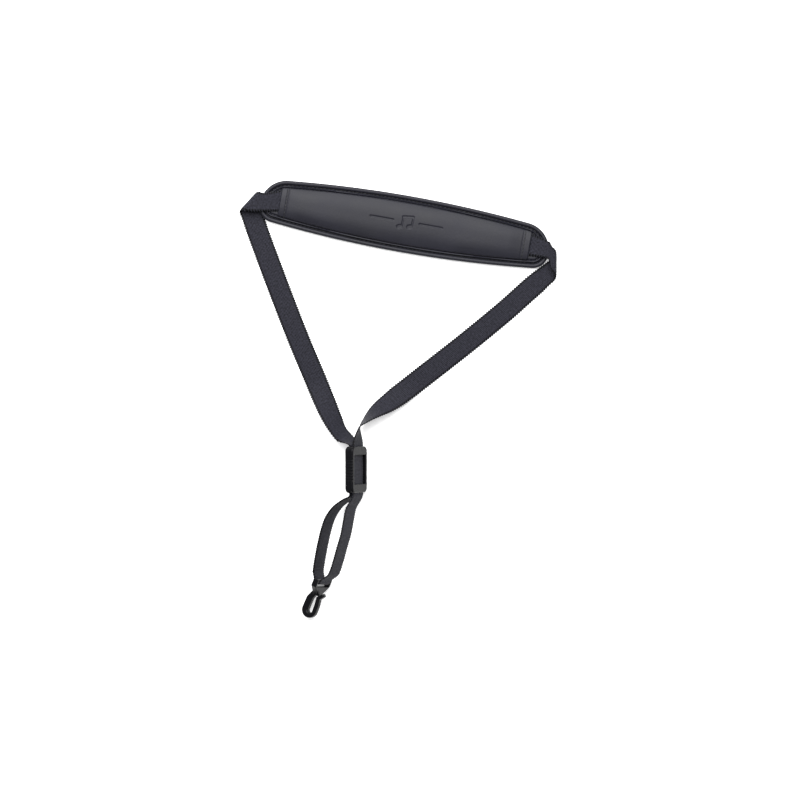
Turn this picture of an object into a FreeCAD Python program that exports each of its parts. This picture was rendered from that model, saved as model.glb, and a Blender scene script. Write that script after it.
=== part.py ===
import FreeCAD, Part
import math
import os
import re
import Sketcher

# Padded neck strap for a saxophone, laid flat.  Millimetres, +Z up.  The origin is the centre of
# the pad's flat underside; +X runs along the pad and the straps leave it towards -Y.
# The webbing is one long strap: through the sleeve on the pad, folded back under each end of the
# pad, down to the slider, round the bar of the hook and back up.

Vector = FreeCAD.Vector
Rotation = FreeCAD.Rotation
UP = Vector(0, 0, 1)

SIZES = [
    ("pad_half_length", 130.0, "pad, centre to end"),
    ("pad_half_width", 25.4, "pad, centre line to edge at the middle"),
    ("edge_bow", 7.8, "how far the pad's long edges draw in towards its ends"),
    ("near_corner", 14.0, "radius of the pad's corners on the straps' side"),
    ("far_corner", 24.0, "radius of the corners away from them"),
    ("seam_height", 4.2, "height of the seam round the pad"),
    ("lining_thickness", 0.9, "leather under the pad"),
    ("face_thickness", 0.9, "leather over the foam"),
    ("face_top", 7.0, "top of the face"),
    ("underside_inset", 11.6, "edge of the flat underside, in from the outline"),
    ("edge_inset", 4.2, "edge of lining and face, in from the outline"),
    ("shoulder_inset", 5.6, "top edge of the face, in from the outline"),
    ("leather_taper", 1.3, "how far the foam stays inside the leather"),
    ("bead_radius", 2.0, "outside of the piping"),
    ("cord_radius", 1.2, "filler cord in the piping"),
    ("cord_room", 0.05, "room round the filler cord"),
    ("flange_thickness", 0.8, "piping's sewn-in flange"),
    ("flange_inset", 6.4, "inner edge of the flange"),
    ("panel_half_length", 112.5, "sleeve panel, centre to end"),
    ("panel_side_inset", 6.2, "long edges of the panel, in from the outline"),
    ("panel_corner", 3.0, "corners of the panel"),
    ("panel_thickness", 0.9, "leather of the panel"),
    ("panel_top", 10.8, "top of the panel's crown"),
    ("panel_slope", 7.0, "run of the panel's shoulders"),
    ("strap_width", 20.0, "webbing"),
    ("strap_thickness", 1.4, "webbing"),
    ("strap_offset", 1.0, "webbing's centre line, off the pad's centre line"),
    ("strap_room", 0.1, "room round the webbing in the sleeve"),
    ("left_coming", 175.0, "degrees, the webbing as it reaches the left crease"),
    ("right_coming", -32.3, "degrees, the webbing as it reaches the right crease"),
    ("fold_top", 7.9, "centre of the webbing above a fold"),
    ("strap_rest", 0.75, "centre of the webbing lying flat"),
    ("left_reach", 10.2, "pad's left end to the crease"),
    ("right_reach", 8.2, "pad's right end to the crease"),
    ("left_crease", -4.5, "middle of the left crease, off the pad's centre line"),
    ("right_crease", -12.5, "middle of the right crease, off the pad's centre line"),
    ("left_crease_share", 1.13, "length of the left crease, over the webbing's width"),
    ("right_crease_share", 1.15, "length of the right crease, over the webbing's width"),
    ("left_heading", -60.0, "degrees, left strap after its fold"),
    ("right_heading", -128.7, "degrees, right strap after its fold"),
    ("slider_x", -4.7, "slider's centre"),
    ("slider_y", -221.7, "slider's centre"),
    ("slider_yaw", 10.0, "degrees about +Z"),
    ("roll", 62.0, "degrees, the slider and the loop stand nearly on edge"),
    ("slider_length", 41.0, "along the straps"),
    ("slider_thickness", 8.0, "front to back"),
    ("slider_wall", 3.0, "side walls"),
    ("slider_bar", 7.5, "bars at top and bottom, along the straps"),
    ("slider_plate", 1.5, "thickness of those bars"),
    ("slider_middle_bar", 7.0, "bar between the two strands"),
    ("slider_corner", 4.5, "corners of the slider"),
    ("slider_edge", 1.2, "rounding of the outer edges"),
    ("slider_room", 0.5, "room beside the webbing"),
    ("channel_room", 0.3, "room each side of a strand's thickness"),
    ("rib_count", 8.0, "grip ribs on each side"),
    ("rib_pitch", 2.6, "grip ribs"),
    ("rib_depth", 0.6, "grooves between the ribs"),
    ("hook_x", -16.9, "centre of the hook's bar"),
    ("hook_y", -324.0, "centre of the hook's bar"),
    ("hook_yaw", 2.0, "degrees about +Z"),
    ("hook_tilt", 15.3, "degrees about its bar"),
    ("hook_drop", 28.0, "bar to the centre of the bend"),
    ("hook_gap", 4.7, "inside of the bend"),
    ("hook_shank", 6.0, "shank, across"),
    ("hook_arm", 4.0, "free arm, across"),
    ("arm_rise", 12.0, "bend to the free arm's neck"),
    ("arm_lean", 1.2, "how far the free arm leans in"),
    ("nose_rise", 4.5, "neck to the nose"),
    ("nose_reach", 8.4, "nose, out from the bar's line"),
    ("shank_rise", 10.0, "straight stretch of the shank"),
    ("hook_thickness", 6.0, "shank and arm, along the bar"),
    ("hook_rounding", 1.4, "rounded edges of shank and arm"),
    ("eye_bar_radius", 1.7, "bar that the webbing goes round"),
    ("eye_cheek", 2.2, "sides of the eye"),
    ("eye_slot", 3.2, "clear way under the bar"),
    ("eye_room", 0.5, "room beside the webbing"),
    ("eye_thickness", 5.0, "eye, front to back"),
    ("fan_drop", 13.5, "bar to the foot of the fan"),
]

doc = FreeCAD.newDocument("sax_neck_strap")
sheet = doc.addObject("Spreadsheet::Sheet", "sizes")
for row, (alias, value, note) in enumerate(SIZES, start=1):
    sheet.set(f"A{row}", note)
    sheet.set(f"B{row}", str(value))
    sheet.setAlias(f"B{row}", alias)
doc.recompute()


def cells(text):
    """An expression on the sheet, from one written with the aliases alone."""
    return re.sub(r"[a-z][a-z_]+", lambda word: "sizes." + word[0], text)


def value_of(text):
    """What that expression comes to."""
    return float(sheet.evalExpression(cells(text)))


def new_body(name):
    body = doc.addObject("PartDesign::Body", name)
    body.Label = name
    return body


def new_sketch(body, plane, lift="0"):
    """An empty sketch on one of the body's own planes, raised by lift."""
    sketch = body.newObject("Sketcher::SketchObject", body.Name + "_sketch")
    support = next(item for item in body.Origin.OriginFeatures if item.Role == plane)
    sketch.AttachmentSupport = [(support, "")]
    sketch.MapMode = "FlatFace"
    sketch.setExpression("AttachmentOffset.Base.z", cells(lift))
    return sketch


def dimension(sketch, kind, text, *where):
    """Adds a dimension of a sketch that follows the sheet."""
    number = sketch.addConstraint(Sketcher.Constraint(kind, *where, value_of(text)))
    sketch.setExpression(f"Constraints[{number}]", cells(text))


EDGE_RADIUS = "(pad_half_length ^ 2 + edge_bow ^ 2) / (2 * edge_bow)"


def outline(sketch, side, reach, far_corner, near_corner):
    """The pad's outline: bowed long edges `side` inside the pad's, ends at reach, round corners."""
    bow, end = value_of(f"{EDGE_RADIUS} - ({side})"), value_of(reach)
    centre = value_of(f"{EDGE_RADIUS} - pad_half_width")
    turns = []

    def arc(x, y, radius, start, stop):
        circle = Part.Circle(Vector(x, y, 0), UP, radius)
        return sketch.addGeometry(Part.ArcOfCircle(circle, start, stop))

    for text in (far_corner, near_corner):
        radius = value_of(text)
        turn_x = end - radius
        turn_y = math.sqrt((bow - radius) ** 2 - turn_x ** 2) - centre
        turns.append((radius, turn_x, turn_y, math.atan2(turn_y + centre, turn_x)))
    (far_r, far_x, far_y, far_lean), (near_r, near_x, near_y, near_lean) = turns
    far = arc(0, -centre, bow, far_lean, math.pi - far_lean)
    near = arc(0, centre, bow, math.pi + near_lean, 2 * math.pi - near_lean)
    corners = [
        arc(far_x, far_y, far_r, 0, far_lean),
        arc(-far_x, far_y, far_r, math.pi - far_lean, math.pi),
        arc(-near_x, -near_y, near_r, math.pi, math.pi + near_lean),
        arc(near_x, -near_y, near_r, 2 * math.pi - near_lean, 2 * math.pi),
    ]
    right, left = [
        sketch.addGeometry(Part.LineSegment(Vector(x, -near_y, 0), Vector(x, far_y, 0)))
        for x in (end, -end)
    ]
    # end 1 of an arc is its start going anticlockwise; end 1 of a line is its lower one
    joints = [
        (corners[0], 2, far, 1), (far, 2, corners[1], 1), (corners[1], 2, left, 2),
        (left, 1, corners[2], 1), (corners[2], 2, near, 1), (near, 2, corners[3], 1),
        (corners[3], 2, right, 1), (right, 2, corners[0], 1),
    ]
    for joint in joints:
        sketch.addConstraint(Sketcher.Constraint("Tangent", *joint))
    for line, ends in ((right, (-1, 1, right, 1)), (left, (left, 1, -1, 1))):
        sketch.addConstraint(Sketcher.Constraint("Vertical", line))
        dimension(sketch, "DistanceX", reach, *ends)
    for edge, ends in ((far, (far, 3, -1, 1)), (near, (-1, 1, near, 3))):
        dimension(sketch, "Radius", f"{EDGE_RADIUS} - ({side})", edge)
        sketch.addConstraint(Sketcher.Constraint("PointOnObject", edge, 3, -2))
        dimension(sketch, "DistanceY", f"{EDGE_RADIUS} - pad_half_width", *ends)
    for bend, text in zip(corners, (far_corner, far_corner, near_corner, near_corner)):
        dimension(sketch, "Radius", text, bend)


def rectangle(sketch, left, right, low, high):
    """A rectangle between four expressions."""
    x0, x1, y0, y1 = (value_of(text) for text in (left, right, low, high))
    corners = [Vector(x0, y0, 0), Vector(x1, y0, 0), Vector(x1, y1, 0), Vector(x0, y1, 0)]
    sides = [
        sketch.addGeometry(Part.LineSegment(corners[n], corners[(n + 1) % 4])) for n in range(4)
    ]
    for n, kind in enumerate(("Horizontal", "Vertical", "Horizontal", "Vertical")):
        sketch.addConstraint(Sketcher.Constraint("Coincident", sides[n], 2, sides[(n + 1) % 4], 1))
        sketch.addConstraint(Sketcher.Constraint(kind, sides[n]))
    for text, kind, side in (
        (left, "DistanceX", 0), (low, "DistanceY", 0), (right, "DistanceX", 2), (high, "DistanceY", 2)
    ):
        dimension(sketch, kind, text, -1, 1, sides[side], 1)


def lofted(body, levels, kind="PartDesign::AdditiveLoft"):
    """A straight-sided loft through outlines, each given as its height and outline's sizes."""
    sections = []
    for height, *sizes in levels:
        sections.append(new_sketch(body, "XY_Plane", height))
        outline(sections[-1], *sizes)
    loft = body.newObject(kind, body.Name + "_loft")
    loft.Profile = sections[0]
    loft.Sections = sections[1:]
    loft.Ruled = True


def extruded(body, sketch, length, kind="PartDesign::Pad"):
    """A pad or pocket of a sketch, half of its length each way."""
    feature = body.newObject(kind, body.Name + "_feature")
    feature.Profile = sketch
    feature.setExpression("Length", cells(length))
    feature.Midplane = True
    return feature


def pad_level(height, inset):
    """A level of the pad: its height, and its outline inset."""
    corners = [f"{name} - ({inset})" for name in ("far_corner", "near_corner")]
    return height, inset, f"pad_half_length - ({inset})", *corners


def panel_level(height, inset):
    """A level of the sleeve panel, whose ends lean in half as far as its long edges."""
    reach = f"panel_half_length - ({inset}) / 2"
    return height, f"panel_side_inset + {inset}", reach, "panel_corner", "panel_corner"


SEAM_LOW = "seam_height - flange_thickness / 2"
SEAM_HIGH = "seam_height + flange_thickness / 2"
FOAM_FOOT = pad_level("lining_thickness", "underside_inset + lining_thickness")
FOAM_LOW = pad_level(SEAM_LOW, "flange_inset")
FOAM_HIGH = pad_level(SEAM_HIGH, "flange_inset")
FOAM_TOP = pad_level("face_top - face_thickness", "shoulder_inset + leather_taper")
CROWN = [
    panel_level("face_top", "panel_thickness"),
    panel_level("panel_top - panel_thickness", "(panel_slope + panel_thickness)"),
]

pad_lining = new_body("pad_lining")
LINING_FOOT = pad_level("0", "underside_inset")
lofted(pad_lining, [LINING_FOOT, pad_level(SEAM_LOW, "edge_inset")])
lofted(pad_lining, [FOAM_FOOT, FOAM_LOW], "PartDesign::SubtractiveLoft")

pad_foam = new_body("pad_foam")
lofted(pad_foam, [FOAM_FOOT, FOAM_LOW, FOAM_HIGH, FOAM_TOP])

pad_face = new_body("pad_face")
lofted(pad_face, [pad_level(SEAM_HIGH, "edge_inset"), pad_level("face_top", "shoulder_inset")])
lofted(pad_face, [FOAM_HIGH, FOAM_TOP], "PartDesign::SubtractiveLoft")


def piped(body, radius, kind="PartDesign::AdditivePipe"):
    """A round bead along the outline, at the height of the seam."""
    path = new_sketch(body, "XY_Plane", "seam_height")
    outline(path, *pad_level("seam_height", "bead_radius")[1:])
    ring = new_sketch(body, "XZ_Plane")
    across, height = value_of("pad_half_length - bead_radius"), value_of("seam_height")
    circle = ring.addGeometry(Part.Circle(Vector(across, height, 0), UP, value_of(radius)))
    dimension(ring, "Radius", radius, circle)
    dimension(ring, "DistanceX", "pad_half_length - bead_radius", -1, 1, circle, 3)
    dimension(ring, "DistanceY", "seam_height", -1, 1, circle, 3)
    pipe = body.newObject(kind, body.Name + "_pipe")
    pipe.Profile = ring
    pipe.Spine = path


piping_cover = new_body("piping_cover")
flange = new_sketch(piping_cover, "XY_Plane", "seam_height")
outline(flange, *pad_level("seam_height", "bead_radius * 1.5")[1:])
outline(flange, *FOAM_LOW[1:])
extruded(piping_cover, flange, "flange_thickness")
piped(piping_cover, "bead_radius")
piped(piping_cover, "cord_radius + cord_room", "PartDesign::SubtractivePipe")

piping_cord = new_body("piping_cord")
piped(piping_cord, "cord_radius")


def strap_channel(body):
    """Cuts the webbing's way through the sleeve, end to end."""
    section = new_sketch(body, "YZ_Plane")
    half = "strap_width / 2 + strap_room"
    height = "face_top + strap_thickness + 2 * strap_room"
    rectangle(section, f"strap_offset - ({half})", f"strap_offset + {half}", "face_top", height)
    extruded(body, section, "panel_half_length * 3", "PartDesign::Pocket")


sleeve_panel = new_body("sleeve_panel")
lofted(sleeve_panel, [panel_level("face_top", "0"), panel_level("panel_top", "panel_slope")])
lofted(sleeve_panel, CROWN, "PartDesign::SubtractiveLoft")
strap_channel(sleeve_panel)

sleeve_foam = new_body("sleeve_foam")
lofted(sleeve_foam, CROWN)
strap_channel(sleeve_foam)

webbing_sleeve = doc.addObject("Part::Box", "webbing_sleeve")
webbing_sleeve.Label = "webbing_sleeve"
for prop, text in (
    ("Length", "2 * panel_half_length"),
    ("Width", "strap_width"),
    ("Height", "strap_thickness"),
    ("Placement.Base.x", "-panel_half_length"),
    ("Placement.Base.y", "strap_offset - strap_width / 2"),
    ("Placement.Base.z", "face_top + strap_room"),
):
    webbing_sleeve.setExpression(prop, cells(text))


def rounded(body, radius, chosen):
    """A fillet on the edges that chosen picks, of the body as it stands."""
    doc.recompute()
    base = body.Tip
    names = [f"Edge{n}" for n, edge in enumerate(base.Shape.Edges, start=1) if chosen(edge)]
    fillet = body.newObject("PartDesign::Fillet", body.Name + "_fillet")
    fillet.Base = (base, names)
    fillet.setExpression("Radius", cells(radius))
    doc.recompute()


SIDE_WINDOW = "(strap_width / 2 + slider_room)"
SIDE = "(strap_width / 2 + slider_room + slider_wall)"
WINDOW_TOP = "(slider_length / 2 - slider_bar)"
CHANNEL = "(slider_thickness / 2 - slider_plate)"
STRAND = "(slider_thickness / 2 - slider_plate - channel_room - strap_thickness / 2)"

slider_frame = new_body("slider_frame")
plate = new_sketch(slider_frame, "XY_Plane")
rectangle(plate, "-" + SIDE, SIDE, "-slider_length / 2", "slider_length / 2")
extruded(slider_frame, plate, "slider_thickness")
rounded(slider_frame, "slider_corner", lambda edge: edge.BoundBox.ZLength > 1)
rounded(slider_frame, "slider_edge", lambda edge: edge.BoundBox.ZLength < 0.01)
window = new_sketch(slider_frame, "XY_Plane")
rectangle(window, "-" + SIDE_WINDOW, SIDE_WINDOW, "-" + WINDOW_TOP, WINDOW_TOP)
extruded(slider_frame, window, "slider_thickness * 2", "PartDesign::Pocket")
channel = new_sketch(slider_frame, "XZ_Plane")
rectangle(channel, "-" + SIDE_WINDOW, SIDE_WINDOW, "-" + CHANNEL, CHANNEL)
extruded(slider_frame, channel, "slider_length * 2", "PartDesign::Pocket")
middle = new_sketch(slider_frame, "XY_Plane")
reach = f"({SIDE_WINDOW} + slider_wall / 2)"
rectangle(middle, "-" + reach, reach, "-slider_middle_bar / 2", "slider_middle_bar / 2")
extruded(slider_frame, middle, f"2 * ({STRAND} - strap_thickness / 2 - channel_room)")
for way in ("-1", "1"):
    rib = new_sketch(slider_frame, "XY_Plane")
    sides = (f"{way} * ({SIDE} - rib_depth)", f"{way} * ({SIDE} + rib_depth)")
    first = "-(rib_count - 1) * rib_pitch / 2 - rib_pitch / 4"
    rectangle(rib, *sorted(sides, key=value_of), first, first + " + rib_pitch / 2")
    groove = extruded(slider_frame, rib, "slider_thickness * 2", "PartDesign::Pocket")
    doc.recompute()
    ribs = slider_frame.newObject("PartDesign::LinearPattern", "slider_frame_ribs")
    ribs.Originals = [groove]
    ribs.Direction = (rib, ["V_Axis"])
    ribs.setExpression("Length", cells("(rib_count - 1) * rib_pitch"))
    ribs.setExpression("Occurrences", cells("rib_count"))
    slider_frame.Tip = ribs
    doc.recompute()


def contour(sketch, corners, bends=()):
    """A closed outline through corners given as expressions; bends are (side, centre's x, turn)."""
    points = [Vector(value_of(x), value_of(y), 0) for x, y in corners]
    centres = {side: (middle_x, turn) for side, middle_x, turn in bends}
    sides = []
    for n, start in enumerate(points):
        end = points[(n + 1) % len(points)]
        if n not in centres:
            sides.append((sketch.addGeometry(Part.LineSegment(start, end)), 1, 2))
            continue
        centre = Vector(value_of(centres[n][0]), (start.y + end.y) / 2, 0)
        circle = Part.Circle(centre, UP, (start - centre).Length)
        angles = [math.atan2(p.y - centre.y, p.x - centre.x) for p in (start, end)]
        forward = centres[n][1] > 0
        low, high = angles if forward else reversed(angles)
        while high < low:
            high += 2 * math.pi
        arc = sketch.addGeometry(Part.ArcOfCircle(circle, low, high))
        sides.append((arc, 1, 2) if forward else (arc, 2, 1))
    for n, (side, start, end) in enumerate(sides):
        following = sides[(n + 1) % len(sides)]
        sketch.addConstraint(Sketcher.Constraint("Coincident", side, end, *following[:2]))
        dimension(sketch, "DistanceX", corners[n][0], -1, 1, side, start)
        dimension(sketch, "DistanceY", corners[n][1], -1, 1, side, start)
        if n in centres:
            dimension(sketch, "DistanceX", centres[n][0], -1, 1, side, 3)


hook = new_body("hook")
# across the bar: x of this sketch is along the hook, y towards the free arm
bow = new_sketch(hook, "YZ_Plane")
SHANK_OUT = "(hook_gap / 2 + hook_shank)"
ARM_OUT = "(hook_gap / 2 + hook_arm)"
contour(
    bow,
    [
        ("-hook_drop", "-" + SHANK_OUT),
        ("-hook_drop", ARM_OUT),
        ("-hook_drop + arm_rise / 2", ARM_OUT + " - 0.1"),
        ("-hook_drop + arm_rise", "hook_gap / 2 + hook_arm - arm_lean"),
        ("-hook_drop + arm_rise + nose_rise", "nose_reach"),
        ("-hook_drop + arm_rise + nose_rise + 2", "nose_reach - 2"),
        ("-hook_drop + arm_rise + 1", "hook_gap / 2 - arm_lean"),
        ("-hook_drop + arm_rise / 2", "hook_gap / 2 - 0.2"),
        ("-hook_drop", "hook_gap / 2"),
        ("-hook_drop", "-hook_gap / 2"),
        ("-hook_drop + shank_rise", "-hook_gap / 2 + 0.3"),
        ("-fan_drop / 2", "eye_thickness / 2"),
        ("-fan_drop / 2 + 1", "-eye_thickness / 2"),
        ("-hook_drop + shank_rise", "-" + SHANK_OUT + " + 0.3"),
    ],
    [(0, "-hook_drop", -1), (8, "-hook_drop", 1)],
)
extruded(hook, bow, "hook_thickness")
rounded(hook, "hook_rounding", lambda edge: edge.BoundBox.XLength < 0.01)

EYE_HALF = "(strap_width / 2 + eye_room + eye_cheek)"
EYE_WINDOW = "(strap_width / 2 + eye_room)"
fan = new_sketch(hook, "XY_Plane")
contour(
    fan,
    [
        ("-" + EYE_HALF, "eye_bar_radius"),
        ("-" + EYE_HALF, "-eye_bar_radius - eye_slot"),
        ("-hook_thickness / 2", "-fan_drop"),
        ("hook_thickness / 2", "-fan_drop"),
        (EYE_HALF, "-eye_bar_radius - eye_slot"),
        (EYE_HALF, "eye_bar_radius"),
    ],
)
extruded(hook, fan, "eye_thickness")
doc.recompute()
slot = new_sketch(hook, "XY_Plane")
rectangle(slot, "-" + EYE_WINDOW, EYE_WINDOW, "-eye_bar_radius - eye_slot", "eye_bar_radius * 2")
extruded(hook, slot, "eye_thickness * 2", "PartDesign::Pocket")
doc.recompute()
rod = new_sketch(hook, "YZ_Plane")
circle = rod.addGeometry(Part.Circle(Vector(0, 0, 0), UP, value_of("eye_bar_radius")))
dimension(rod, "Radius", "eye_bar_radius", circle)
rod.addConstraint(Sketcher.Constraint("Coincident", circle, 3, -1, 1))
extruded(hook, rod, f"2 * {EYE_WINDOW} + eye_cheek")


def across(yaw, tilt=0):
    """The turn of a piece lying nearly on edge, its width axis rolled up from the ground."""
    level = Rotation(UP, yaw) * Rotation(Vector(0, 1, 0), value_of("roll"))
    return level * Rotation(Vector(1, 0, 0), tilt)


roll = math.radians(value_of("roll"))
HOOK_CLEARANCE = 0.9
slider_height = value_of(SIDE) * math.sin(roll) + value_of("slider_thickness / 2") * math.cos(roll)
slider_turn = across(value_of("slider_yaw"))
slider_centre = Vector(value_of("slider_x"), value_of("slider_y"), slider_height)
slider_frame.Placement = FreeCAD.Placement(slider_centre, slider_turn)
hook_turn = across(value_of("hook_yaw"))
hook_height = value_of(EYE_HALF) * math.sin(roll) + value_of("eye_thickness / 2") * math.cos(roll)
hook_centre = Vector(value_of("hook_x"), value_of("hook_y"), hook_height + HOOK_CLEARANCE)
hook.Placement = FreeCAD.Placement(hook_centre, across(value_of("hook_yaw"), value_of("hook_tilt")))

# The webbing.  A ribbon is a list of stations: centre, the way to its one edge, its normal.

HALF = value_of("strap_width / 2")
REST = value_of("strap_rest")
THICK = value_of("strap_thickness")


def smooth(share):
    """Eases from 0 to 1."""
    share = min(max(share, 0), 1)
    return share * share * (3 - 2 * share)


def level_way(degrees):
    turn = math.radians(degrees)
    return Vector(math.cos(turn), math.sin(turn), 0)


def ribbon(name, stations):
    """The webbing through its stations, as a ruled loft of rectangles."""
    sections = []
    for centre, side, normal in stations:
        thick = normal * (THICK / 2)
        corners = [centre + side + thick, centre - side + thick]
        corners += [centre - side - thick, centre + side - thick]
        sections.append(Part.makePolygon(corners + corners[:1]))
    feature = doc.addObject("Part::Feature", name)
    feature.Label = name
    feature.Shape = Part.makeLoft(sections, True, True)
    return feature


def end_of_pad(way, past):
    """A place past one end of the pad."""
    return way * (value_of("pad_half_length") + past)


# Where the webbing's two edges pass over the pad's end, past the end and off the centre line.
LEADS = {"left": [], "right": [((0.5, -9.3), (-1.7, 7.0))]}


def fold(way, side_name):
    """Stations of the soft fold at one end of the pad, from the mouth of the sleeve on."""
    lift = value_of("face_top + strap_room + strap_thickness / 2")
    mouth = Vector(way * value_of("panel_half_length"), value_of("strap_offset"), lift)
    radius = (value_of("fold_top") - REST) / 2
    coming = level_way(value_of(f"{side_name}_coming"))
    going = level_way(value_of(f"{side_name}_heading"))
    outward = (coming - going).normalize()
    crease = Vector(-outward.y, outward.x, 0)
    slope = (coming * crease) / (coming * outward)
    end = end_of_pad(way, value_of(f"{side_name}_reach"))
    spine = Vector(end, value_of(f"{side_name}_crease"), REST + radius) - outward * radius
    side = crease * (HALF * value_of(f"{side_name}_crease_share"))
    if side.y < 0:
        side = side * -1
    stations = [(mouth, Vector(0, HALF, 0), UP)]
    for near, far in LEADS[side_name]:
        edges = [Vector(end_of_pad(way, x), y, value_of("fold_top")) for x, y in (near, far)]
        stations.append(((edges[0] + edges[1]) / 2, (edges[1] - edges[0]) / 2, UP))
    for degrees in range(0, 181, 30):
        turn = math.radians(degrees)
        normal = outward * math.sin(turn) + UP * math.cos(turn)
        along = crease * (slope * radius * (turn - math.pi / 2))
        stations.append((spine + along + normal * radius, side, normal))
    return stations


def strap(start, mouth, bow, turned):
    """Stations from a fold to the slider's mouth: the strap lies flat, then rolls on edge.

    bow lists points between the two: share of the way and how far to the right of it.
    """
    run = Vector(mouth.x - start.x, mouth.y - start.y, 0)
    right = Vector(-run.y, run.x, 0).normalize()
    spots = [(0, start)] + [(share, start + run * share + right * off) for share, off in bow]
    spots.append((1, mouth))
    rise = mouth.z - HALF * math.sin(math.radians(turned)) - REST
    stations = []
    for n, (share, spot) in enumerate(spots[1:], start=1):
        ahead = slider_down if share == 1 else spots[n + 1][1] - spots[n - 1][1]
        part = max(0, (share - ROLL_START) / (1 - ROLL_START)) ** ROLL_EASE
        turn = math.radians(turned) * part
        level = Vector(ahead.x, ahead.y, 0).normalize().cross(UP) * (1 if turned < 90 else -1)
        side = level * math.cos(turn) + UP * math.sin(turn)
        spine = Vector(spot.x, spot.y, REST + HALF * math.sin(turn) + rise * part)
        stations.append((spine, side * HALF, UP * math.cos(turn) - level * math.sin(turn)))
    return stations


ROLL_START = 0.7
ROLL_EASE = 1.3

slider_down = slider_turn.multVec(Vector(0, -1, 0))
slider_front = slider_turn.multVec(UP)
slider_side = slider_turn.multVec(Vector(-1, 0, 0))


def in_slider(strand, along):
    """The middle of a strand in the slider: strand is 1 in front or -1 behind."""
    offset = slider_front * (strand * value_of(STRAND))
    return slider_centre + offset + slider_down * (along * value_of("slider_length / 2"))


# Between a fold and the slider's mouth: share of the way, off to the right.
LEFT_BOW = [
    (0.1, -2), (0.2, -3.5), (0.37, -5.7), (0.54, -7.4), (0.7, -8.1), (0.8, -8.5), (0.87, -8.3),
    (0.94, -6.5),
]
RIGHT_BOW = [
    (0.09, -1), (0.22, -1.2), (0.4, -3), (0.65, -7.1), (0.75, -8.9), (0.81, -10.5), (0.86, -12.3),
    (0.91, -12.4), (0.95, -10.8),
]

for name, way, side_name, strand, turned, bow in (
    ("webbing_left", -1, "left", -1, value_of("roll"), LEFT_BOW),
    ("webbing_right", 1, "right", 1, 180 - value_of("roll"), RIGHT_BOW),
):
    stations = fold(way, side_name)
    start = stations[-1][0]
    start.z = REST
    mouth = in_slider(strand, -1)
    stations += strap(start, mouth, bow, turned)
    ribbon(name, stations + [(in_slider(strand, 0), stations[-1][1], stations[-1][2])])

# The loop below the slider: share of the way to the hook's bar, off to the right, lift.
LEFT_STRAND = [
    (0.10, -5.0, 2.8), (0.22, -11.2, 1.7), (0.39, -13.7, 1.1), (0.57, -12.3, 1.1),
    (0.75, -9.8, 1.4), (0.90, -7.2, 2.3),
]
RIGHT_STRAND = [
    (0.20, 0.8, 6.3), (0.42, 4.2, 6.7), (0.60, 5.6, 6.7), (0.75, 6.8, 6.2), (0.89, 7.0, 5.3),
]
PAST_MOUTH = 1.1
BIGHT_ROOM = value_of("eye_bar_radius + channel_room") + THICK / 2


def loop_stations():
    """From the slider's middle, down its back strand, round the hook's bar and up to the front."""
    top = slider_centre + slider_down * value_of("slider_length / 2")
    axis = hook_centre - top
    right = Vector(-axis.y, axis.x, 0).normalize()
    hook_down, hook_front = hook_turn.multVec(Vector(0, -1, 0)), hook_turn.multVec(UP)
    yaws = value_of("slider_yaw"), value_of("hook_yaw")
    spots = [(in_slider(-1, along), 0) for along in (0, 1, PAST_MOUTH)]
    for strand in (LEFT_STRAND, None, RIGHT_STRAND[::-1]):
        for share, off, lift in strand or ():
            spot = top + axis * share + right * off
            spots.append((Vector(spot.x, spot.y, HALF * math.sin(roll) + lift), share))
        for degrees in range(-90, 91, 30) if strand is None else ():
            turn = math.radians(degrees)
            reach = hook_front * math.sin(turn) + hook_down * math.cos(turn)
            spots.append((hook_centre + reach * BIGHT_ROOM, 1))
    spots += [(in_slider(1, along), 0) for along in (PAST_MOUTH, 1, 0)]
    stations = []
    for n, (spot, share) in enumerate(spots):
        before, after = spots[max(n - 1, 0)][0], spots[min(n + 1, len(spots) - 1)][0]
        turn = across(yaws[0] + (yaws[1] - yaws[0]) * smooth(share))
        side = turn.multVec(Vector(-1, 0, 0))
        normal = (after - before).cross(side).normalize()
        stations.append((spot, side * HALF, normal))
    return stations


ribbon("webbing_loop", loop_stations())

NODES = [
    "pad_lining", "pad_foam", "pad_face", "piping_cover", "piping_cord", "sleeve_panel",
    "sleeve_foam", "webbing_sleeve", "webbing_left", "webbing_right", "webbing_loop",
    "slider_frame", "hook",
]

doc.recompute()
failed = [item.Name for item in doc.Objects if {"Invalid", "Error"} & set(item.State)]
if failed:
    raise SystemExit(f"not built: {failed}")
pieces = [doc.getObject(name) for name in NODES]
for piece in pieces:
    if piece.Shape.isNull() or not piece.Shape.isValid():
        raise SystemExit(f"bad shape: {piece.Label}")
os.makedirs("parts", exist_ok=True)
for piece in pieces:
    piece.Shape.exportStep(f"parts/{piece.Label}.step")
    print(f"{piece.Label}: {piece.Shape.Volume:.0f} mm3")
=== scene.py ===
"""Padded neck strap for a saxophone, laid flat: its looks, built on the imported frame.

Lengths are in millimetres until a mesh is placed.  The pad lies along X with its flat
underside on the ground, and the straps leave it towards -Y.
"""

import logging
import math
from dataclasses import dataclass, field
from enum import Enum
from typing import Callable

import bpy
import numpy as np
from mathutils import Matrix, Vector

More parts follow.
